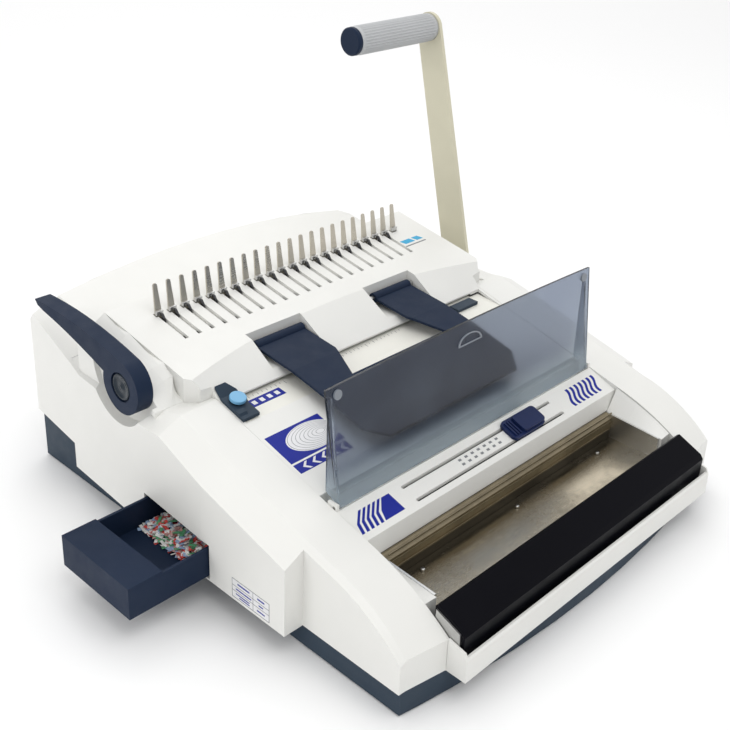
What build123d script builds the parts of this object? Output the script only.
from build123d import *
import os
from math import atan, cos, degrees, pi, radians, sin, sqrt

os.makedirs("parts", exist_ok=True)

# Frame: X to the operator's right, Y to the back, Z up. The origin is on the rest plane, on the centre line.

# Walls and running gaps
WALL = 3.0
GAP = 0.3
RUN = 0.05

# Overall plan of the machine
HALF_DECK = 168.0
HALF_CONSOLE = 187.6
HALF_BODY = 212.0
HALF_BUMP = 230.5
FRONT_Y = -213.6
FRONT_RADIUS = 1101.0
REAR_Y = 264.0
BUMP_FRONT_Y = -96.0
CASE_BOTTOM = 22.0
SKIRT_BOTTOM = 1.5
SHOULDER_X = 206.0
SHOULDER_DROP = 12.0

# Sloping deck, apron and console
DECK_SLOPE = 0.262
DECK_REF = (-84.0, 97.0)
CONSOLE_SLOPE = 0.18
CONSOLE_REF = (117.0, 160.5)
CONSOLE_REAR_Y = 184.0
THROAT_Y = 51.5
CHANNEL_FRONT_Y = 22.0
TROUGH_REAR_Y = -66.0
POD_LEVEL = 131.0
BREAK_Y = 94.0
BREAK_CURVE = 0.00075

# Comb opener
PITCH = 14.2875
FINGERS = 22
FINGER_Y = 157.5
FINGER_TOP = 196.5
FINGER_THICK = 1.6
FINGER_LEAN = 8.0
SLOT_FRONT_Y = 117.0
SLOT_REAR_Y = 156.0
SLOT_WIDTH = 4.0
LEVER_Y = 105.5
LEVER_Z = 146.6
LEVER_OUT_X = -227.0
LEVER_THICK = 15.0
LEVER_HUB_R = 24.0

# Punch
SHAFT_Y = 131.0
SHAFT_Z = 88.0
SHAFT_R = 8.0
ARM_X = 233.5
ARM_THICK = 4.0
ARM_WIDTH = 35.0
ARM_LEAN = 13.28
ARM_REACH = 283.0
ARM_END_R = 15.5
GRIP_R = 14.5
GRIP_LENGTH = 112.0
PIN_Y = 105.0
SLIT_Z = 128.0
SLIT_HEIGHT = 2.2

# Front: selector panel, wire closer, press bar
PANEL_REAR = (-84.0, 97.0)
PANEL_FRONT = (-115.2, 85.5)
TRAY_HALF = 153.0
TRAY_FRONT_Y = -181.3
FLOOR_Z = 44.0
BAR_HALF = 166.2
PRESS_Y = -100.0
PRESS_Z = 27.0
LIP_Y = -218.7
LIP_TOP = 43.3

# Smoked cover and paper rest
HINGE_Y = -82.0
HINGE_Z = 98.6
COVER_HALF = 164.1
COVER_TOP_HALF = 168.8
COVER_TOP = (-71.3, 195.7)
COVER_THICK = 2.4
REST_Y = 89.0
REST_Z = 145.0

# Drawer
DRAWER_Y = (-7.5, 81.0)
DRAWER_Z = (25.0, 54.5)
DRAWER_OUT_X = -304.5
DRAWER_LENGTH = 372.0
CHIPS_X = -218.0


# Casing details
STEP_Y = 198.0
REAR_SKIRT_Z = 47.0
REAR_HALF = 214.0
HALF_BASE = 209.9
BASE_FLOOR_Z = 4.5
HALF_CHANNEL = 165.0
HALF_THROAT = 153.0
HUMP_FALL = 0.0005
TROUGH_Z = 87.0
FOOT_R = 12.0
SCOOP = (118.0, 150.0)
SCOOP_R = 43.0
SCOOP_X = 211.4
FLANK = ((75.0, 131.4, -197.0, 131.4, 131.4), (88.0, 150.0, -197.0, 148.5, 140.0),
         (100.0, 157.2, -199.0, 155.8, 153.2),
         (148.0, 166.0, -199.0, 161.0, 154.0), (184.0, 172.4, -199.0, 165.0, 153.0))
FLANK_LOW = 126.0
FLANK_OUT = 216.0

# Hinge pockets in the apron
POCKETS = (-72.5, 72.5)
POCKET_WIDTH = 64.0
POCKET_DEPTH = 38.0
POCKET_Y = 77.0
POCKET_FLOOR_Z = 137.0
PIN_HALF = 35.0

# Frame and punch details
FRAME_X = 163.0
BUSH_R = 12.0
PIN_SIZE = (8.0, 3.0)
RAM_Z = 146.0
LINK_X = 160.0
LINK_THICK = 4.0
CAM_R = 14.0
CAM_OFFSET = 5.9

# Comb opener details
FINGER_WIDTH = 7.0
FINGER_TIP = 4.0
LEVER_SHAFT_R = 6.0
LEVER_BUSH_R = 9.0
SECTOR_R = 15.0
IDLER_R = 9.0
IDLER_PIN_R = 3.0
IDLER_Z = LEVER_Z - SECTOR_R - IDLER_R
GEAR_X = -176.0
GEAR_THICK = 6.0
TOOTH = 0.9
TOOTH_WIDTH = 1.5
TOOTH_PITCH = 2 * pi * IDLER_R / 12
SLOPE_ANGLE = degrees(atan(CONSOLE_SLOPE))
RAKE_Y = 152.0
RAKE_Z = 149.0
RAKE_END_X = -175.0
HOOK_THICK = 1.6
HOOK_TOP = 171.0

# Paper rest and smoked cover details
REST_HALF = 99.0
REST_FRONT_Y = -60.0
REST_PIN_R = 2.5
REST_BARREL_R = 5.0
BARRELS = ((-99.0, -43.0), (50.0, 99.0))
BUMPER_Z = 110.4
HINGE_LUG_R = 2.7
HINGE_PIN_R = 1.5

# Guides and selector
BUTTON = (-156.6, 44.4)
BUTTON_R = 7.2
BUTTON_STEM_R = 3.0
GUIDE_X = (-167.0, -149.5)
GUIDE_Y = (24.0, 60.0)
TAB_X = (117.0, 147.0)
SELECTOR_X = 44.0
GROOVES = ((-93.9, -105.0, 91.0), (-108.4, -103.0, 94.0))
GROOVE_WIDTH = 3.0
PRESS_PIN_R = 4.0


def deck_z(y):
    return DECK_REF[1] + DECK_SLOPE * (y - DECK_REF[0])


def console_z(y):
    return CONSOLE_REF[1] + CONSOLE_SLOPE * (y - CONSOLE_REF[0])


def panel_z(y):
    slope = (PANEL_REAR[1] - PANEL_FRONT[1]) / (PANEL_REAR[0] - PANEL_FRONT[0])
    return PANEL_REAR[1] + slope * (y - PANEL_REAR[0])


def ruler_z(y):
    return SLIT_Z - 0.4 + 0.11 * (y - THROAT_Y)


def rail_z(y):
    return RAKE_Z - GAP + CONSOLE_SLOPE * (y - RAKE_Y)


def bow_y(x):
    return FRONT_Y + FRONT_RADIUS - sqrt(FRONT_RADIUS**2 - x**2)


def finger_x(number):
    return (number - (FINGERS - 1) / 2) * PITCH


def yz(x):
    """Sketch plane across the machine: sketch x is Y, sketch y is Z, and it faces +X."""
    return Plane.YZ.offset(x)


def save(piece, label):
    piece.part.label = label
    export_step(piece.part, f"parts/{label}.step")


# ---------------------------------------------------------------- casing


def pod_outline(x, drop, inset, rear_rise):
    """Side cover section at x: bowed front, curved nose, deck slope, level rear, and the raised rear end."""
    front = bow_y(min(abs(x), HALF_BODY)) + inset
    top = -drop - inset
    rear = REAR_Y - inset
    low = CASE_BOTTOM - (10 if inset else 0)
    high = REAR_SKIRT_Z - (30 if inset else 0)
    end = [(180, POD_LEVEL + top), (192, 136 + top), (258, 157 + top), (rear, 150 + top)]
    if not rear_rise:
        end = [(180, POD_LEVEL + top), (252, 128 + top), (rear, 122 + top)]
    step = [(rear, high + 5), (STEP_Y - inset, high), (STEP_Y - inset, low)]
    with BuildLine() as outline:
        Polyline((front, low), (front, 50 + top))
        ThreePointArc((front, 50 + top), (-163 + inset, 73 + top), (-118, deck_z(-118) + 0.6 + top))
        Polyline((-118, deck_z(-118) + 0.6 + top), (56, deck_z(56) + top), (72, POD_LEVEL + top), *end,
                 *step,
                 (front, low))
    return outline.line


def cover_envelope(side, rear_rise, inset):
    """Side cover as a solid, or the room inside it when inset is the wall."""
    start = HALF_DECK - 3 if inset else HALF_DECK + GAP
    with BuildPart() as envelope:
        for x, drop in ((start, 0), (SHOULDER_X, 0), (HALF_BUMP - inset, SHOULDER_DROP)):
            with BuildSketch(yz(side * x)):
                with BuildLine():
                    add(pod_outline(x, drop, inset, rear_rise))
                make_face()
        loft(ruled=True)
        # The bump starts at a step, and its side wall closes in towards the rear
        with BuildSketch(Plane.XY):
            with Locations((side * (HALF_BODY + 15 - inset), BUMP_FRONT_Y - 100 + inset)):
                Rectangle(30, 200)
            with BuildLine():
                Polyline((side * (HALF_BUMP - inset), 0), (side * (HALF_BUMP + 20), 0),
                         (side * (HALF_BUMP + 20), REAR_Y + 5), (side * (REAR_HALF - inset), REAR_Y + 5),
                         close=True)
            make_face()
        extrude(amount=200, mode=Mode.SUBTRACT)
    return envelope.part


def side_cover(side, rear_rise):
    """Side shell, open below and towards the middle, with a cheek wall beside the wire closer."""
    with BuildPart() as cover:
        add(cover_envelope(side, rear_rise, 0))
        add(cover_envelope(side, rear_rise, WALL), mode=Mode.SUBTRACT)
        with BuildSketch(yz(side * (HALF_DECK + GAP))):
            with BuildLine():
                add(pod_outline(HALF_DECK + GAP, 0, 0, rear_rise))
            make_face()
            with Locations((-150, 60)):
                Rectangle(2 * (150 - 80), 120, mode=Mode.INTERSECT)
        extrude(amount=side * 2)
        # Room for the console, and behind it for the rear cover
        with BuildSketch(Plane.XY.offset(127)):
            with Locations((side * (HALF_CONSOLE + GAP - 15), (62 + REAR_Y) / 2 + 5)):
                Rectangle(30, REAR_Y - 62 + 10)
        extrude(amount=60, mode=Mode.SUBTRACT)
        with BuildSketch(Plane.XY.offset(40)):
            with Locations((side * (HALF_CONSOLE + GAP - 15), (CONSOLE_REAR_Y + REAR_Y) / 2 + 5)):
                Rectangle(30, REAR_Y - CONSOLE_REAR_Y + 10)
        extrude(amount=147, mode=Mode.SUBTRACT)
    return cover.part


# Left: the lever scoop with its back wall, and the drawer opening
with BuildPart() as left_scoop:
    with BuildSketch(yz(-HALF_BUMP - 5)):
        with Locations(SCOOP):
            Circle(SCOOP_R)
    extrude(amount=HALF_BUMP + 5 - SCOOP_X)
with BuildPart() as scoop_liner:
    with BuildSketch(yz(-HALF_BUMP - 5)):
        with Locations(SCOOP):
            Circle(SCOOP_R + WALL)
    extrude(amount=HALF_BUMP + 5 + WALL - SCOOP_X)
    add(cover_envelope(-1, True, 0), mode=Mode.INTERSECT)
# Flank that slopes from the console's edge down to the lever
with BuildPart() as left_flank:
    for y, inner_z, middle_x, middle_z, outer_z in FLANK:
        with BuildSketch(Plane.XZ.offset(-y)):
            with BuildLine():
                Polyline((-HALF_CONSOLE, FLANK_LOW), (-HALF_CONSOLE, inner_z), (middle_x, middle_z),
                         (-FLANK_OUT, outer_z), (-FLANK_OUT, FLANK_LOW), close=True)
            make_face()
    loft(ruled=True)
with BuildPart() as left_side_cover:
    add(side_cover(-1, True))
    add(scoop_liner.part)
    add(left_flank.part)
    add(left_scoop.part, mode=Mode.SUBTRACT)
    with BuildSketch(yz(-HALF_BODY)):
        with Locations((LEVER_Y, LEVER_Z)):
            Circle(LEVER_SHAFT_R + 0.5)
    extrude(amount=30, mode=Mode.SUBTRACT)
    with BuildSketch(yz(-HALF_BUMP - 5)):
        with Locations((sum(DRAWER_Y) / 2, sum(DRAWER_Z) / 2)):
            Rectangle(DRAWER_Y[1] - DRAWER_Y[0] + 3, DRAWER_Z[1] - DRAWER_Z[0] + 3)
    extrude(amount=20, mode=Mode.SUBTRACT)
save(left_side_cover, "left_side_cover")

# Right: a hole for the main shaft
with BuildPart() as right_side_cover:
    add(side_cover(1, False))
    with BuildSketch(yz(HALF_BUMP - 20)):
        with Locations((SHAFT_Y, SHAFT_Z)):
            Circle(SHAFT_R + 2)
    extrude(amount=30, mode=Mode.SUBTRACT)
save(right_side_cover, "right_side_cover")


def console_outline(x, inset):
    """Deck, apron and console section at x; the break line bows forward towards the sides."""
    y_break = BREAK_Y - BREAK_CURVE * x**2
    front = TROUGH_REAR_Y + inset
    rear = CONSOLE_REAR_Y - inset
    low = SLIT_Z + GAP - (20 if inset else 0)
    front_low = deck_z(TROUGH_REAR_Y) - 9 - (20 if inset else 0)
    with BuildLine() as outline:
        Polyline((front, front_low), (front, deck_z(front) - inset), (THROAT_Y, deck_z(THROAT_Y) - inset),
                 (y_break + inset / 2, console_z(y_break) - inset), (rear, console_z(rear) - inset),
                 (rear, low), (64, low), (56, low - 3.6), (front, front_low))
    return outline.line


def console_envelope(half, inset):
    """Console, apron and deck as a solid, or the room inside when inset is the wall."""
    with BuildPart() as envelope:
        for x in (-half, -90, 0, 90, half):
            with BuildSketch(yz(x)):
                with BuildLine():
                    add(console_outline(x, inset))
                make_face()
        loft()
        # The apron's outer corners are cut back; the room stops short of where the deck narrows
        reach = 18 if inset else 8
        with BuildSketch(Plane.XY.offset(POD_LEVEL - 0.5 - inset)):
            for side in (-1, 1):
                with BuildLine():
                    Polyline((side * (half - reach), 50), (side * (half - reach), 65 + inset),
                             (side * half, 74 + inset),
                             (side * (half + 5), 74 + inset), (side * (half + 5), 50), close=True)
                make_face()
        extrude(amount=100, mode=Mode.SUBTRACT)
    return envelope.part


with BuildPart() as console_room:
    add(console_envelope(HALF_CONSOLE - WALL, WALL))
    # Walls of the two pockets that hold the paper rest's hinges
    with BuildSketch(Plane.XY.offset(POCKET_FLOOR_Z - WALL)):
        for centre in POCKETS:
            with Locations((centre, POCKET_Y)):
                Rectangle(POCKET_WIDTH + 5, POCKET_DEPTH + 3)
    extrude(amount=40, mode=Mode.SUBTRACT)

with BuildPart() as top_cover:
    add(console_envelope(HALF_CONSOLE, 0))
    add(console_room.part, mode=Mode.SUBTRACT)
    # The deck is narrower than the console
    with BuildSketch(Plane.XY.offset(60)):
        for side in (-1, 1):
            with Locations((side * (HALF_DECK + 20), -10)):
                Rectangle(40, 2 * (62 + GAP + 10))
    extrude(amount=120, mode=Mode.SUBTRACT)
    # Channel for the ruler plate, and the throat under the apron's edge
    with BuildSketch(Plane.XY.offset(80)):
        with Locations((0, (CHANNEL_FRONT_Y + THROAT_Y) / 2)):
            Rectangle(2 * HALF_CHANNEL, THROAT_Y - CHANNEL_FRONT_Y)
    extrude(amount=80, mode=Mode.SUBTRACT)
    with BuildSketch(Plane.XY.offset(120)):
        with Locations((0, THROAT_Y + 4)):
            Rectangle(2 * HALF_THROAT, 10)
    extrude(amount=SLIT_Z + WALL - 120, mode=Mode.SUBTRACT)
    # Hinge pockets and the holes that carry the hinge pins
    with BuildSketch(Plane.XY.offset(POCKET_FLOOR_Z)):
        for centre in POCKETS:
            with Locations((centre, POCKET_Y - 1)):
                Rectangle(POCKET_WIDTH, POCKET_DEPTH)
    extrude(amount=40, mode=Mode.SUBTRACT)
    for centre in POCKETS:
        with BuildSketch(yz(centre - PIN_HALF)):
            with Locations((REST_Y, REST_Z)):
                Circle(REST_PIN_R)
        extrude(amount=2 * PIN_HALF, mode=Mode.SUBTRACT)
    # Hook slots and finger windows
    with BuildSketch(Plane.XY.offset(150)):
        for number in range(FINGERS - 1):
            with Locations((finger_x(number), (SLOT_FRONT_Y + SLOT_REAR_Y) / 2)):
                Rectangle(SLOT_WIDTH, SLOT_REAR_Y - SLOT_FRONT_Y)
        for number in range(FINGERS):
            with Locations((finger_x(number), FINGER_Y)):
                Rectangle(FINGER_WIDTH + 1, 5.4)
    extrude(amount=30, mode=Mode.SUBTRACT)
    # Hole for the comb lever's bush
    with BuildSketch(yz(-HALF_CONSOLE - 1)):
        with Locations((LEVER_Y, LEVER_Z)):
            Circle(LEVER_BUSH_R)
    extrude(amount=WALL + 2, mode=Mode.SUBTRACT)
save(top_cover, "top_cover")


def hump_face(y, crown, inset):
    """Section across the rear cover at y: a shallow arch that falls away at the right end."""
    half = HALF_CONSOLE - inset
    turn = HALF_DECK - inset
    low = REAR_SKIRT_Z + 5 - (20 if inset else 0)

    def arch(x):
        return crown - inset - HUMP_FALL * (x + 25)**2

    with BuildSketch(Plane.XZ.offset(-y)) as face:
        with BuildLine():
            ThreePointArc((-half, arch(-half)), (0, arch(0)), (turn, arch(turn)))
            Polyline((turn, arch(turn)), (half, arch(turn) - 9), (half, low), (-half, low),
                     (-half, arch(-half)))
        make_face()
    return face.sketch


with BuildPart() as rear_room:
    add(hump_face(CONSOLE_REAR_Y - 5, 163, WALL))
    add(hump_face(REAR_Y - 9, 176, WALL))
    loft(ruled=True)
with BuildPart() as rear_cover:
    add(hump_face(CONSOLE_REAR_Y + GAP, 164, 0))
    add(hump_face(REAR_Y - 6, 176, 0))
    add(hump_face(REAR_Y, 170, 0))
    loft(ruled=True)
    add(rear_room.part, mode=Mode.SUBTRACT)
save(rear_cover, "rear_cover")

# Base tray with a bowed front and a tall rear end
with BuildPart() as base_tray:
    with BuildSketch(Plane.XY.offset(SKIRT_BOTTOM)) as base_plan:
        with BuildLine():
            ThreePointArc((-HALF_BASE, bow_y(HALF_BASE)), (0, FRONT_Y), (HALF_BASE, bow_y(HALF_BASE)))
            Polyline((HALF_BASE, bow_y(HALF_BASE)), (HALF_BASE, REAR_Y - 0.5), (-HALF_BASE, REAR_Y - 0.5),
                     (-HALF_BASE, bow_y(HALF_BASE)))
        make_face()
    extrude(amount=REAR_SKIRT_Z - GAP - SKIRT_BOTTOM)
    with BuildSketch(Plane.XY.offset(BASE_FLOOR_Z)):
        add(offset(base_plan.face(), amount=-WALL, mode=Mode.PRIVATE))
    extrude(amount=60, mode=Mode.SUBTRACT)
    with BuildSketch(Plane.XY.offset(CASE_BOTTOM)):
        with Locations((0, STEP_Y - 250)):
            Rectangle(500, 500)
    extrude(amount=60, mode=Mode.SUBTRACT)
save(base_tray, "base_tray")

# Selector panel with the hinge trough behind it
with BuildPart() as front_panel:
    with BuildSketch(yz(-HALF_DECK)):
        with BuildLine():
            Polyline((-117, 68.6), PANEL_FRONT, (PANEL_REAR[0] - 1.2, PANEL_REAR[1] - 0.4),
                     (PANEL_REAR[0] - 1.2, TROUGH_Z), (TROUGH_REAR_Y - GAP, TROUGH_Z),
                     (TROUGH_REAR_Y - GAP, 92.4), (TROUGH_REAR_Y + WALL, 92.4),
                     (TROUGH_REAR_Y + WALL, TROUGH_Z - WALL),
                     (-88.2, TROUGH_Z - WALL), (-88.2, 92.3), (-112.4, 83.4), (-114, 68.6), close=True)
        make_face()
    extrude(amount=2 * HALF_DECK)
    with BuildSketch(Plane.XY.offset(70)):
        for y, left, right in GROOVES:
            with Locations(((left + right) / 2, y)):
                SlotOverall(right - left, GROOVE_WIDTH)
    extrude(amount=40, mode=Mode.SUBTRACT)
save(front_panel, "front_panel")

# Lip in front of the press bar, with a foot on the base
with BuildPart() as front_lip:
    with BuildSketch(yz(-169.6)):
        with BuildLine():
            Polyline((LIP_Y, CASE_BOTTOM), (LIP_Y, LIP_TOP - 1.5), (LIP_Y + 1.2, LIP_TOP),
                     (LIP_Y + 3, LIP_TOP),
                     (LIP_Y + 3.6, LIP_TOP - 1), (LIP_Y + 3.6, CASE_BOTTOM), close=True)
        make_face()
    extrude(amount=2 * 169.6)
    with BuildSketch(Plane.XY.offset(CASE_BOTTOM)):
        with Locations((0, LIP_Y + 7.5)):
            Rectangle(280, 8)
    extrude(amount=2.5)
    # End walls back to the side covers
    for side in (-1, 1):
        with BuildSketch(yz(side * (HALF_DECK + 0.1))):
            with BuildLine():
                Polyline((LIP_Y, CASE_BOTTOM), (LIP_Y, LIP_TOP - 1.5), (LIP_Y + 2.4, LIP_TOP + 4),
                         (-200.9, 51),
                         (-200.9, CASE_BOTTOM), close=True)
            make_face()
        extrude(amount=side * 1.6)
save(front_lip, "front_lip")

# Ruler plate: a shallow ramp down from the deck into the throat
with BuildPart() as ruler_plate:
    with BuildSketch(yz(-HALF_CHANNEL + GAP)):
        with BuildLine():
            Polyline((CHANNEL_FRONT_Y + GAP, ruler_z(CHANNEL_FRONT_Y)),
                     (THROAT_Y + 4, ruler_z(THROAT_Y + 4)),
                     (THROAT_Y + 4, ruler_z(THROAT_Y) - 2.5),
                     (CHANNEL_FRONT_Y + GAP, ruler_z(CHANNEL_FRONT_Y) - 2.5),
                     close=True)
        make_face()
    extrude(amount=2 * (HALF_CHANNEL - GAP))
    with BuildSketch(Plane.XY.offset(100)):
        for side in (-1, 1):
            with Locations((side * (HALF_THROAT + 10), THROAT_Y + 5)):
                Rectangle(21, 10)
    extrude(amount=40, mode=Mode.SUBTRACT)
save(ruler_plate, "ruler_plate")

# ---------------------------------------------------------------- frame and punch

FRAME_OUTLINE = [(84, BASE_FLOOR_Z), (190, BASE_FLOOR_Z), (190, 60), (150, 138.5), (61, 138.5), (61, 72),
                 (84, 62)]


def frame_plate(side):
    with BuildPart() as plate:
        with BuildSketch(yz(side * FRAME_X)):
            with BuildLine():
                Polyline(*FRAME_OUTLINE, close=True)
            make_face()
            with Locations((SHAFT_Y, SHAFT_Z)):
                Circle(BUSH_R, mode=Mode.SUBTRACT)
            with Locations((112, 119.5), (115, 134.6)):
                Circle(2.5, mode=Mode.SUBTRACT)
        extrude(amount=side * WALL)
    return plate


save(frame_plate(-1), "left_frame_plate")
save(frame_plate(1), "right_frame_plate")

with BuildPart() as tie_bars:
    with BuildSketch(yz(-FRAME_X)):
        with Locations((175, 30), (97, 20)):
            Circle(5)
    extrude(amount=2 * FRAME_X)
save(tie_bars, "tie_bars")

with BuildPart() as shaft_bushes:
    for side in (-1, 1):
        with BuildSketch(yz(side * (FRAME_X - 0.7))):
            with Locations((SHAFT_Y, SHAFT_Z)):
                Circle(BUSH_R)
                Circle(SHAFT_R + RUN, mode=Mode.SUBTRACT)
        extrude(amount=side * 6)
save(shaft_bushes, "shaft_bushes")


def punch_openings(clearance):
    """Plan of the punch holes and of the notches for the ram links."""
    with BuildSketch(Plane.XY.offset(100)) as plan:
        for number in range(FINGERS - 1):
            with Locations((finger_x(number) + PITCH / 2, PIN_Y)):
                Rectangle(PIN_SIZE[0] + 2 * clearance, PIN_SIZE[1] + 2 * clearance)
        for side in (-1, 1):
            with Locations((side * LINK_X, PIN_Y)):
                Rectangle(LINK_THICK + 1.2, 13.4)
    return plan.sketch


with BuildPart() as die_block:
    with BuildSketch(yz(-FRAME_X)):
        with Locations(((61 + 125) / 2, (112 + SLIT_Z) / 2)):
            Rectangle(125 - 61, SLIT_Z - 112)
    extrude(amount=2 * FRAME_X)
    add(punch_openings(GAP))
    extrude(amount=60, mode=Mode.SUBTRACT)
save(die_block, "die_block")

# The pin guide's foot is the paper stop
with BuildPart() as pin_guide:
    with BuildSketch(yz(-FRAME_X)):
        with BuildLine():
            Polyline((98.4, SLIT_Z + SLIT_HEIGHT), (118, SLIT_Z + SLIT_HEIGHT), (118, SLIT_Z),
                     (125, SLIT_Z),
                     (125, 139), (98.4, 139), close=True)
        make_face()
    extrude(amount=2 * FRAME_X)
    add(punch_openings(GAP))
    extrude(amount=60, mode=Mode.SUBTRACT)
save(pin_guide, "pin_guide")

with BuildPart() as punch_pins:
    with BuildSketch(Plane.XY.offset(SLIT_Z + SLIT_HEIGHT + 0.5)):
        for number in range(FINGERS - 1):
            with Locations((finger_x(number) + PITCH / 2, PIN_Y)):
                Rectangle(*PIN_SIZE)
    extrude(amount=RAM_Z - SLIT_Z - SLIT_HEIGHT - 0.5)
save(punch_pins, "punch_pins")

with BuildPart() as ram_bar:
    with BuildSketch(Plane.XY.offset(RAM_Z)):
        with Locations((0, PIN_Y)):
            Rectangle(2 * (LINK_X + LINK_THICK / 2), 12)
    extrude(amount=7)
save(ram_bar, "ram_bar")

# Each link hangs from the ram bar and carries a window round the eccentric cam
with BuildPart() as ram_links:
    for side in (-1, 1):
        with BuildSketch(yz(side * (LINK_X - LINK_THICK / 2))):
            with Locations((PIN_Y, (RAM_Z + SHAFT_Z) / 2)):
                Rectangle(12, RAM_Z - SHAFT_Z)
            with Locations((SHAFT_Y - 3.6, SHAFT_Z)):
                Rectangle(58, 2 * (CAM_R + 8))
                Rectangle(2 * CAM_R + 8, 2 * (CAM_R + 1.3), mode=Mode.SUBTRACT)
        extrude(amount=side * LINK_THICK)
save(ram_links, "ram_links")

with BuildPart() as eccentric_cams:
    for side in (-1, 1):
        with BuildSketch(yz(side * (LINK_X - LINK_THICK / 2 + GAP))):
            with Locations((SHAFT_Y - CAM_OFFSET, SHAFT_Z)):
                Circle(CAM_R)
            with Locations((SHAFT_Y, SHAFT_Z)):
                Circle(SHAFT_R, mode=Mode.SUBTRACT)
        extrude(amount=side * (LINK_THICK - 2 * GAP))
save(eccentric_cams, "eccentric_cams")

with BuildPart() as main_shaft:
    with BuildSketch(yz(-FRAME_X - 7)):
        with Locations((SHAFT_Y, SHAFT_Z)):
            Circle(SHAFT_R)
    extrude(amount=ARM_X + FRAME_X + 7)
save(main_shaft, "main_shaft")

arm_plane = Plane(origin=(ARM_X, SHAFT_Y, SHAFT_Z),
                  x_dir=(0, cos(radians(ARM_LEAN)), -sin(radians(ARM_LEAN))),
                  z_dir=(1, 0, 0))
with BuildPart() as handle_arm:
    with BuildSketch(arm_plane):
        with BuildLine():
            Polyline((-ARM_WIDTH / 2, 0), (ARM_WIDTH / 2, 0), (ARM_END_R, ARM_REACH),
                     (-ARM_END_R, ARM_REACH), close=True)
        make_face()
        Circle(ARM_WIDTH / 2 + 1)
        with Locations((0, ARM_REACH)):
            Circle(ARM_END_R)
    extrude(amount=ARM_THICK)
save(handle_arm, "handle_arm")

GRIP_CENTRE = (SHAFT_Y + ARM_REACH * sin(radians(ARM_LEAN)), SHAFT_Z + ARM_REACH * cos(radians(ARM_LEAN)))
with BuildPart() as handle_grip:
    with BuildSketch(yz(ARM_X - GRIP_LENGTH)):
        with Locations(GRIP_CENTRE):
            Circle(GRIP_R)
    extrude(amount=GRIP_LENGTH)
save(handle_grip, "handle_grip")

with BuildPart() as grip_cap:
    with BuildSketch(yz(ARM_X - GRIP_LENGTH - 5)):
        with Locations(GRIP_CENTRE):
            Circle(GRIP_R - 0.5)
    extrude(amount=5)
    chamfer(grip_cap.edges().group_by(Axis.X)[0], 1.5)
save(grip_cap, "grip_cap")

with BuildPart() as chip_chute:
    with BuildSketch(yz(-150)):
        with BuildLine():
            Polyline((113, 111.5), (102, 82), (78, 62), (76, 64), (99, 84), (110, 111.5), close=True)
        make_face()
    extrude(amount=300)
save(chip_chute, "chip_chute")

# ---------------------------------------------------------------- comb opener

finger_plane = Plane(origin=(0, FINGER_Y - FINGER_THICK / 2, console_z(FINGER_Y)), x_dir=(1, 0, 0),
                     z_dir=(0, -cos(radians(FINGER_LEAN)), sin(radians(FINGER_LEAN))))
FINGER_RISE = (FINGER_TOP - console_z(FINGER_Y)) / cos(radians(FINGER_LEAN))
with BuildPart() as comb_finger_plate:
    with BuildSketch(finger_plane):
        with Locations((0, -18)):
            Rectangle(FINGERS * PITCH, 20)
        for number in range(FINGERS):
            middle = finger_x(number)
            tip_left = (middle - FINGER_TIP / 2, FINGER_RISE - 2)
            tip_right = (middle + FINGER_TIP / 2, FINGER_RISE - 2)
            foot_left = middle - FINGER_WIDTH / 2
            foot_right = middle + FINGER_WIDTH / 2
            with BuildLine():
                Polyline(tip_left, (foot_left, 0), (foot_left, -9), (foot_right, -9), (foot_right, 0),
                         tip_right)
                ThreePointArc(tip_right, (middle, FINGER_RISE), tip_left)
            make_face()
    extrude(amount=-FINGER_THICK)
save(comb_finger_plate, "comb_finger_plate")

with BuildPart() as comb_rake:
    with BuildSketch(yz(RAKE_END_X)):
        with Locations((RAKE_Y - 4.5, RAKE_Z + 3.5)):
            Rectangle(9, 7)
    extrude(amount=FINGERS * PITCH / 2 - RAKE_END_X)
    for number in range(FINGERS - 1):
        with BuildSketch(yz(finger_x(number) - HOOK_THICK / 2)):
            with BuildLine():
                Polyline((RAKE_Y - 4, RAKE_Z + 6), (RAKE_Y - 4, HOOK_TOP - 4), (RAKE_Y - 1, HOOK_TOP),
                         (RAKE_Y + 2, HOOK_TOP), (RAKE_Y + 2, HOOK_TOP - 2), (RAKE_Y - 0.5, HOOK_TOP - 3),
                         (RAKE_Y - 0.5, RAKE_Z + 6), close=True)
            make_face()
        extrude(amount=HOOK_THICK)
save(comb_rake, "comb_rake")

with BuildPart() as rake_rails:
    for side in (-1, 1):
        with BuildSketch(yz(side * 130 - 5)):
            with BuildLine():
                Polyline((113, 139), (RAKE_Y, 139), (RAKE_Y, rail_z(RAKE_Y)), (113, rail_z(113)),
                         close=True)
            make_face()
        extrude(amount=10)
save(rake_rails, "rake_rails")


def gear(radius, teeth, first_angle, bore, axis_z, arc=None):
    """Spur gear with narrow straight teeth beside the frame, or a sector of one over the given arc."""
    with BuildPart() as wheel:
        with BuildSketch(yz(GEAR_X)):
            with Locations((LEVER_Y, axis_z)):
                Circle(radius - TOOTH)
                with PolarLocations(radius - TOOTH / 2, teeth, start_angle=first_angle):
                    Rectangle(2 * TOOTH + 0.4, TOOTH_WIDTH)
            if arc:
                corners = [(LEVER_Y + 2 * radius * cos(radians(angle)),
                            axis_z + 2 * radius * sin(radians(angle)))
                           for angle in arc]
                with BuildLine():
                    Polyline((LEVER_Y, axis_z), *corners, close=True)
                make_face(mode=Mode.INTERSECT)
            with Locations((LEVER_Y, axis_z)):
                Circle(bore + 2)
                Circle(bore, mode=Mode.SUBTRACT)
        extrude(amount=-GEAR_THICK)
    return wheel


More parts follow.
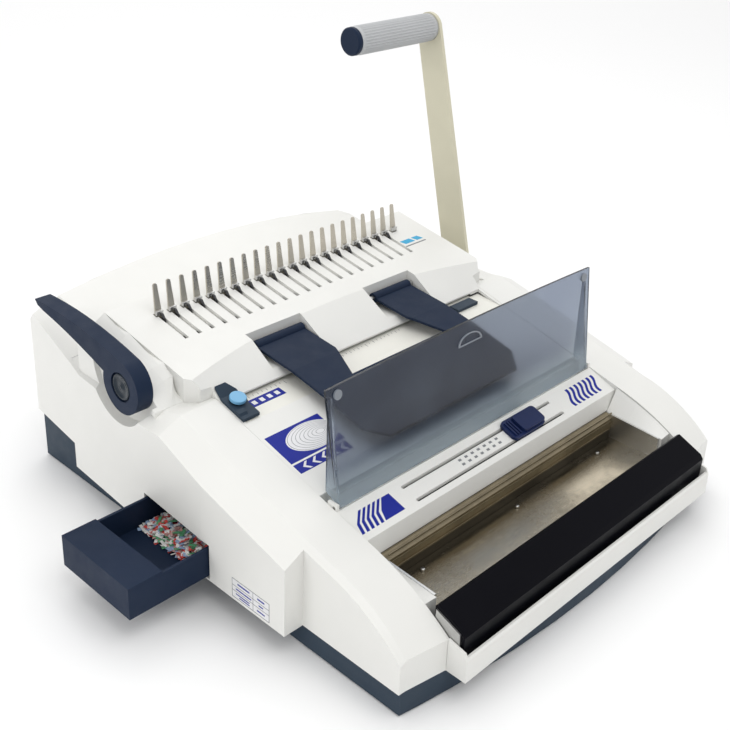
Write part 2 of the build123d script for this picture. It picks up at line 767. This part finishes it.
save(gear(SECTOR_R, 20, -90 - SLOPE_ANGLE * IDLER_R / SECTOR_R, LEVER_SHAFT_R, LEVER_Z,
          (-200, -135, -70)), "sector_gear")
save(gear(IDLER_R, 12, -90 + SLOPE_ANGLE + 15, IDLER_PIN_R + RUN, IDLER_Z), "idler_gear")

# Rack under the idler, parallel to the console, with the ear that joins it to the rake
rack_plane = Plane(origin=(GEAR_X + 4, LEVER_Y, IDLER_Z), x_dir=(0, -1, -CONSOLE_SLOPE), z_dir=(-1, 0, 0))
tooth_plane = Plane(origin=(GEAR_X, LEVER_Y, IDLER_Z), x_dir=(0, -1, -CONSOLE_SLOPE), z_dir=(-1, 0, 0))
with BuildPart() as rake_rack:
    with BuildSketch(rack_plane):
        with Locations((-16, -IDLER_R - TOOTH - 3)):
            Rectangle(52, 6)
    extrude(amount=GEAR_THICK + 4)
    with BuildSketch(tooth_plane):
        for number in range(-7, 2):
            with Locations((number * TOOTH_PITCH, -IDLER_R - TOOTH / 2)):
                Rectangle(TOOTH_WIDTH, 2 * TOOTH + 0.4)
    extrude(amount=GEAR_THICK)
    with BuildSketch(yz(RAKE_END_X)):
        with Locations((RAKE_Y - 4.5, (RAKE_Z + 108) / 2)):
            Rectangle(9, RAKE_Z - 108)
    extrude(amount=3)
save(rake_rack, "rake_rack")

with BuildPart() as idler_pin:
    with BuildSketch(yz(-FRAME_X - WALL)):
        with Locations((LEVER_Y, IDLER_Z)):
            Circle(IDLER_PIN_R)
    extrude(amount=GEAR_X - GEAR_THICK - 1 + FRAME_X + WALL)
save(idler_pin, "idler_pin")

with BuildPart() as lever_shaft:
    with BuildSketch(yz(LEVER_OUT_X + LEVER_THICK)):
        with Locations((LEVER_Y, LEVER_Z)):
            Circle(LEVER_SHAFT_R)
    extrude(amount=GEAR_X + 1 - LEVER_OUT_X - LEVER_THICK)
save(lever_shaft, "lever_shaft")

with BuildPart() as lever_bush:
    with BuildSketch(yz(-HALF_CONSOLE)):
        with Locations((LEVER_Y, LEVER_Z)):
            Circle(LEVER_BUSH_R)
            Circle(LEVER_SHAFT_R + RUN, mode=Mode.SUBTRACT)
    extrude(amount=WALL)
save(lever_bush, "lever_bush")

# Comb lever: a round hub with a curved, tapering arm that rises to the rear
with BuildPart() as comb_lever:
    with BuildSketch(yz(LEVER_OUT_X)):
        with BuildLine():
            ThreePointArc((LEVER_Y - 5, LEVER_Z + 23.4), (150, 179.2), (229, 182))
            Polyline((229, 182), (225, 177.5), (217, 175.2))
            ThreePointArc((217, 175.2), (172, 165.5), (LEVER_Y + 18, LEVER_Z + 4))
            Polyline((LEVER_Y + 18, LEVER_Z + 4), (LEVER_Y, LEVER_Z), (LEVER_Y - 5, LEVER_Z + 23.4))
        make_face()
        with Locations((LEVER_Y, LEVER_Z)):
            Circle(LEVER_HUB_R)
    extrude(amount=LEVER_THICK)
    with BuildSketch(yz(LEVER_OUT_X)):
        with Locations((LEVER_Y, LEVER_Z)):
            Circle(13)
    extrude(amount=2.5, mode=Mode.SUBTRACT)
save(comb_lever, "comb_lever")

with BuildPart() as lever_cap:
    with BuildSketch(yz(LEVER_OUT_X + 0.5)):
        with Locations((LEVER_Y, LEVER_Z)):
            Circle(11.5)
    extrude(amount=2)
    fillet(lever_cap.edges().group_by(Axis.X)[0], 1.2)
save(lever_cap, "lever_cap")

# ---------------------------------------------------------------- paper rest and smoked cover

# One dark plate on two arms; each arm ends in a barrel on the hinge pin
with BuildPart() as rest_bend:
    with BuildSketch(yz(-REST_HALF)):
        with BuildLine():
            Polyline((REST_Y - 2, REST_Z + 1.2), (40, 141.2), (0, 133.2), (REST_FRONT_Y, 117.6),
                     (REST_FRONT_Y, 115.2), (0, 130.8), (40, 138.8), (REST_Y - 2, REST_Z - 1.2), close=True)
        make_face()
    extrude(amount=2 * REST_HALF)
with BuildPart() as paper_rest:
    with BuildSketch(Plane.XY.offset(100)):
        with BuildLine():
            Polyline((-REST_HALF, REST_Y), (-REST_HALF, REST_FRONT_Y + 18), (-REST_HALF + 16, REST_FRONT_Y),
                     (REST_HALF - 16, REST_FRONT_Y), (REST_HALF, REST_FRONT_Y + 18), (REST_HALF, REST_Y),
                     (50, REST_Y), (50, 45), (65, 10), (-57, 10), (-43, 45), (-43, REST_Y), close=True)
        make_face()
    extrude(amount=60)
    add(rest_bend.part, mode=Mode.INTERSECT)
    for low, high in BARRELS:
        with BuildSketch(yz(low)):
            with Locations((REST_Y, REST_Z)):
                Circle(REST_BARREL_R)
        extrude(amount=high - low)
    with BuildSketch(yz(-REST_HALF - 1)):
        with Locations((REST_Y, REST_Z)):
            Circle(REST_PIN_R + RUN)
    extrude(amount=2 * REST_HALF + 2, mode=Mode.SUBTRACT)
save(paper_rest, "paper_rest")

with BuildPart() as rest_hinge_pins:
    for centre in POCKETS:
        with BuildSketch(yz(centre - PIN_HALF)):
            with Locations((REST_Y, REST_Z)):
                Circle(REST_PIN_R)
        extrude(amount=2 * PIN_HALF)
save(rest_hinge_pins, "rest_hinge_pins")

with BuildPart() as rest_bumpers:
    with BuildSketch(Plane.XY.offset(BUMPER_Z)):
        with Locations((-80, -40), (80, -40)):
            Circle(4)
    extrude(amount=11)
    add(rest_bend.part, mode=Mode.SUBTRACT)
    split(bisect_by=Plane.XY.offset(119), keep=Keep.BOTTOM)
save(rest_bumpers, "rest_bumpers")

# The smoked plate leans back; its end gussets carry the pivot lugs
cover_run = (COVER_TOP[0] - PANEL_REAR[0], COVER_TOP[1] - PANEL_REAR[1])
cover_height = sqrt(cover_run[0]**2 + cover_run[1]**2)
cover_plane = Plane(origin=(0, PANEL_REAR[0], PANEL_REAR[1]), x_dir=(1, 0, 0),
                    z_dir=(0, -cover_run[1], cover_run[0]))
with BuildPart() as smoked_cover:
    with BuildSketch(cover_plane):
        with BuildLine():
            Polyline((-COVER_TOP_HALF, cover_height), (-COVER_HALF, 0), (COVER_HALF, 0),
                     (COVER_TOP_HALF, cover_height))
            ThreePointArc((COVER_TOP_HALF, cover_height), (0, cover_height + 2.5),
                          (-COVER_TOP_HALF, cover_height))
        make_face()
    extrude(amount=-COVER_THICK)
    for side in (-1, 1):
        with BuildSketch(yz(side * (COVER_HALF - COVER_THICK))):
            with BuildLine():
                Polyline((-82.2, 99.5), (-68.5, 105.6), (-68.5, 187), (-71, 187), close=True)
            make_face()
            with Locations((HINGE_Y, HINGE_Z)):
                Circle(HINGE_LUG_R)
        extrude(amount=side * COVER_THICK)
    with BuildSketch(yz(-COVER_HALF - 1)):
        with Locations((HINGE_Y, HINGE_Z)):
            Circle(HINGE_PIN_R)
    extrude(amount=2 * COVER_HALF + 2, mode=Mode.SUBTRACT)
save(smoked_cover, "smoked_cover")

with BuildPart() as cover_hinge_pins:
    for side in (-1, 1):
        with BuildSketch(yz(side * (COVER_HALF - COVER_THICK))):
            with Locations((HINGE_Y, HINGE_Z)):
                Circle(HINGE_PIN_R)
        extrude(amount=side * 6)
save(cover_hinge_pins, "cover_hinge_pins")

with BuildPart() as cover_hinge_blocks:
    for side in (-1, 1):
        with BuildSketch(yz(side * (COVER_HALF + 1.2))):
            with Locations((-80.1, (TROUGH_Z + 102) / 2)):
                Rectangle(10, 102 - TROUGH_Z)
            with Locations((HINGE_Y, HINGE_Z)):
                Circle(HINGE_PIN_R + RUN, mode=Mode.SUBTRACT)
        extrude(amount=side * 2.6)
save(cover_hinge_blocks, "cover_hinge_blocks")

with BuildPart() as cover_pads:
    with BuildSketch(cover_plane):
        with Locations((-158, 93), (158, 93)):
            Circle(4)
    extrude(amount=1.5)
save(cover_pads, "cover_pads")

# ---------------------------------------------------------------- guides and selector

apron_z = deck_z(THROAT_Y) + 0.94 * (GUIDE_Y[1] - THROAT_Y)
with BuildPart() as guide_profile:
    with BuildSketch(yz(GUIDE_X[0])):
        with BuildLine():
            Polyline((GUIDE_Y[0], deck_z(GUIDE_Y[0]) + GAP), (THROAT_Y - 0.5, deck_z(THROAT_Y - 0.5) + GAP),
                     (GUIDE_Y[1], apron_z + 0.6), (GUIDE_Y[1], apron_z + 3),
                     (THROAT_Y + 0.8, deck_z(THROAT_Y) + 3),
                     (GUIDE_Y[0], deck_z(GUIDE_Y[0]) + 3), close=True)
        make_face()
    extrude(amount=GUIDE_X[1] - GUIDE_X[0] + 4)
button_plane = Plane(origin=(BUTTON[0], BUTTON[1], deck_z(BUTTON[1])), x_dir=(1, 0, 0),
                     z_dir=(0, -DECK_SLOPE, 1))
with BuildPart() as edge_guide:
    with BuildSketch(Plane.XY.offset(120)):
        with BuildLine():
            Polyline((GUIDE_X[0], GUIDE_Y[0]), (GUIDE_X[1], GUIDE_Y[0]), (GUIDE_X[1], 38), (-146.5, 46),
                     (-149, 54),
                     (-156, GUIDE_Y[1]), (GUIDE_X[0], GUIDE_Y[1]), close=True)
        make_face()
    extrude(amount=30)
    add(guide_profile.part, mode=Mode.INTERSECT)
    # Raised spine along the outer edge
    with BuildSketch(yz(GUIDE_X[0])):
        with BuildLine():
            Polyline((GUIDE_Y[0] + 3, deck_z(GUIDE_Y[0] + 3) + 2.5),
                     (THROAT_Y - 16, deck_z(THROAT_Y - 16) + 2.5),
                     (THROAT_Y - 18, deck_z(THROAT_Y - 18) + 4.6),
                     (GUIDE_Y[0] + 5, deck_z(GUIDE_Y[0] + 5) + 4.6),
                     close=True)
        make_face()
    extrude(amount=8)
    with BuildSketch(button_plane):
        Circle(BUTTON_STEM_R + GAP)
    extrude(amount=10, mode=Mode.SUBTRACT)
save(edge_guide, "edge_guide")

with BuildPart() as guide_button:
    with BuildSketch(button_plane.offset(4.6)):
        Circle(BUTTON_R)
    extrude(amount=2.8)
    fillet(guide_button.edges().sort_by(Axis.Z)[-1:], 0.8)
    with BuildSketch(button_plane.offset(2)):
        Circle(BUTTON_STEM_R)
    extrude(amount=2.6)
save(guide_button, "guide_button")

with BuildPart() as depth_tab:
    with BuildSketch(yz(TAB_X[0])):
        with BuildLine():
            Polyline((37, ruler_z(37) + GAP), (48.5, ruler_z(48.5) + GAP), (48.5, ruler_z(48.5) + 2.2),
                     (37, ruler_z(37) + 3.4), close=True)
        make_face()
    extrude(amount=TAB_X[1] - TAB_X[0])
save(depth_tab, "depth_tab")

# The selector's knob rides on the panel and its stems run in the grooves
panel_tilt = (PANEL_REAR[0] - PANEL_FRONT[0], PANEL_REAR[1] - PANEL_FRONT[1])
selector_plane = Plane(origin=(SELECTOR_X, -99.5, panel_z(-99.5) + GAP), x_dir=(1, 0, 0),
                       z_dir=(0, -panel_tilt[1], panel_tilt[0]))
with BuildPart() as size_selector:
    with BuildSketch(selector_plane):
        RectangleRounded(44, 21, 5)
    extrude(amount=3)
    with BuildSketch(selector_plane.offset(3)):
        with Locations((6, 0)):
            RectangleRounded(30, 18, 4)
    extrude(amount=3.4)
    with BuildSketch(selector_plane.offset(3)):
        for number in range(3):
            with Locations((-12 - 3.2 * number, 0)):
                Rectangle(1.6, 15)
    extrude(amount=1.6)
    with BuildSketch(Plane.XY.offset(82)):
        for y, left, right in GROOVES:
            with Locations((SELECTOR_X, y)):
                Rectangle(20, GROOVE_WIDTH - 1)
    extrude(until=Until.NEXT)
save(size_selector, "size_selector")

# ---------------------------------------------------------------- wire closer

with BuildPart() as tray_floor:
    with BuildSketch(yz(-TRAY_HALF)):
        with BuildLine():
            Polyline((-124.3, FLOOR_Z), (TRAY_FRONT_Y, FLOOR_Z), (TRAY_FRONT_Y, FLOOR_Z - 10),
                     (TRAY_FRONT_Y + 1.5, FLOOR_Z - 10), (TRAY_FRONT_Y + 1.5, FLOOR_Z - 2),
                     (-124.3, FLOOR_Z - 2),
                     close=True)
        make_face()
    extrude(amount=2 * TRAY_HALF)
save(tray_floor, "tray_floor")

with BuildPart() as anvil_bar:
    with BuildSketch(yz(-TRAY_HALF)):
        with BuildLine():
            Polyline((-117.3, 40), (-117.3, 68.3), (-119, 68.3), (-124.1, 64.3), (-124.1, 40), close=True)
        make_face()
    extrude(amount=2 * TRAY_HALF)
save(anvil_bar, "anvil_bar")

with BuildPart() as tray_side_plates:
    for side in (-1, 1):
        with BuildSketch(yz(side * TRAY_HALF)):
            with BuildLine():
                Polyline((-90, BASE_FLOOR_Z), (-90, 38), (-117.3, 42), (-117.3, 68), (-120, 68),
                         (-173.6, 64.8),
                         (-173.6, 54), (-180, 50), (TRAY_FRONT_Y, 44), (TRAY_FRONT_Y, 30),
                         (-130, BASE_FLOOR_Z), close=True)
            make_face()
            with Locations((PRESS_Y, PRESS_Z)):
                Circle(PRESS_PIN_R, mode=Mode.SUBTRACT)
        extrude(amount=side * 2)
save(tray_side_plates, "tray_side_plates")

# Bevelled cheeks between the side covers and the tray
with BuildPart() as tray_cheeks:
    for side in (-1, 1):
        with BuildSketch(yz(side * (HALF_DECK - 0.2))):
            with BuildLine():
                Polyline((-117.3, 88), (-140, 81), (-160, 73.4), (-176, 65.5), (-176, 46), (-117.3, 46),
                         close=True)
            make_face()
        with BuildSketch(yz(side * (TRAY_HALF + 2.2))):
            with BuildLine():
                Polyline((-117.3, 67.8), (-140, 66.6), (-160, 65.4), (-176, 64.4), (-176, 46), (-117.3, 46),
                         close=True)
            make_face()
        loft(ruled=True)
save(tray_cheeks, "tray_cheeks")

with BuildPart() as press_pivot_pins:
    for side in (-1, 1):
        with BuildSketch(yz(side * (TRAY_HALF - 2))):
            with Locations((PRESS_Y, PRESS_Z)):
                Circle(PRESS_PIN_R)
        extrude(amount=side * (HALF_DECK - TRAY_HALF + 2))
save(press_pivot_pins, "press_pivot_pins")

with BuildPart() as press_return_springs:
    for side in (-1, 1):
        with BuildSketch(yz(side * (TRAY_HALF + 2))):
            with Locations((PRESS_Y, PRESS_Z)):
                Circle(PRESS_PIN_R + 2)
                Circle(PRESS_PIN_R, mode=Mode.SUBTRACT)
        extrude(amount=side * 8)
save(press_return_springs, "press_return_springs")

with BuildPart() as press_arms:
    for side in (-1, 1):
        with BuildSketch(yz(side * BAR_HALF)):
            with BuildLine():
                Polyline((-94, 20), (-94, 34), (-184, 34), (-186.5, 67), (-209, 58), (-210, 33), (-190, 31),
                         (-150, 20),
                         close=True)
            make_face()
            with Locations((PRESS_Y, PRESS_Z)):
                Circle(PRESS_PIN_R + RUN, mode=Mode.SUBTRACT)
        extrude(amount=side * 1.5)
save(press_arms, "press_arms")

with BuildPart() as press_bar:
    with BuildSketch(yz(-BAR_HALF)):
        with BuildLine():
            Polyline((-184.5, 68.6), (-186.8, 70.2), (-209.8, 60), (-212.6, 56.2), (-211.6, 34),
                     (-186.5, 34),
                     (-184.5, 37), close=True)
        make_face()
    extrude(amount=2 * BAR_HALF)
save(press_bar, "press_bar")

with BuildPart() as closing_jaw:
    with BuildSketch(yz(-TRAY_HALF + 1)):
        with BuildLine():
            Polyline((-184.5, 40), (-184.5, 64), (-182.5, 62), (-182.5, 40), close=True)
        make_face()
    extrude(amount=2 * TRAY_HALF - 2)
save(closing_jaw, "closing_jaw")

# ---------------------------------------------------------------- drawer

drawer_width = DRAWER_Y[1] - DRAWER_Y[0]
drawer_height = DRAWER_Z[1] - DRAWER_Z[0]
with BuildPart() as chip_drawer:
    with BuildSketch(Plane.XY.offset(DRAWER_Z[0] + 1)):
        with Locations((DRAWER_OUT_X + DRAWER_LENGTH / 2, sum(DRAWER_Y) / 2)):
            Rectangle(DRAWER_LENGTH, drawer_width)
    extrude(amount=drawer_height - 3)
    with BuildSketch(Plane.XY.offset(DRAWER_Z[0] + 3.4)):
        with Locations((DRAWER_OUT_X + DRAWER_LENGTH / 2, sum(DRAWER_Y) / 2)):
            Rectangle(DRAWER_LENGTH - 5, drawer_width - 5)
    extrude(amount=drawer_height, mode=Mode.SUBTRACT)
    # Closed top and face at the outer end
    with BuildSketch(Plane.XY.offset(DRAWER_Z[1] - 2.5)):
        with Locations((DRAWER_OUT_X + 15.5, sum(DRAWER_Y) / 2)):
            Rectangle(31, drawer_width)
    extrude(amount=2.5)
save(chip_drawer, "chip_drawer")

with BuildPart() as paper_chips:
    with BuildSketch(Plane.XY.offset(DRAWER_Z[0] + 3.4)):
        with Locations((CHIPS_X, sum(DRAWER_Y) / 2)):
            Rectangle(34, drawer_width - 8)
    extrude(amount=11, taper=35)
save(paper_chips, "paper_chips")

with BuildPart() as drawer_rails:
    for edge, side in ((DRAWER_Y[0], -1), (DRAWER_Y[1], 1)):
        with BuildSketch(yz(-HALF_BASE + WALL)):
            with Locations((edge + side * 1.4, (BASE_FLOOR_Z + 34) / 2)):
                Rectangle(2, 34 - BASE_FLOOR_Z)
            with Locations((edge - side * 1.6, DRAWER_Z[0] - 0.5)):
                Rectangle(6, 2)
        extrude(amount=HALF_BASE - WALL + 155)
save(drawer_rails, "drawer_rails")

# ---------------------------------------------------------------- feet and screws

with BuildPart() as base_feet:
    with BuildSketch(Plane.XY):
        Circle(FOOT_R)
        with Locations(*[(sx * 185, y) for sx in (-1, 1) for y in (-170, 235)]):
            Circle(FOOT_R)
    extrude(amount=SKIRT_BOTTOM)
save(base_feet, "base_feet")

with BuildPart() as casing_screws:
    with BuildSketch(Plane.XY.offset(0.4)):
        with Locations(*[(sx * 195, y) for sx in (-1, 1) for y in (-130, 30, 190)]):
            Circle(4)
            RegularPolygon(1.6, 6, mode=Mode.SUBTRACT)
    extrude(amount=SKIRT_BOTTOM - 0.4)
save(casing_screws, "casing_screws")
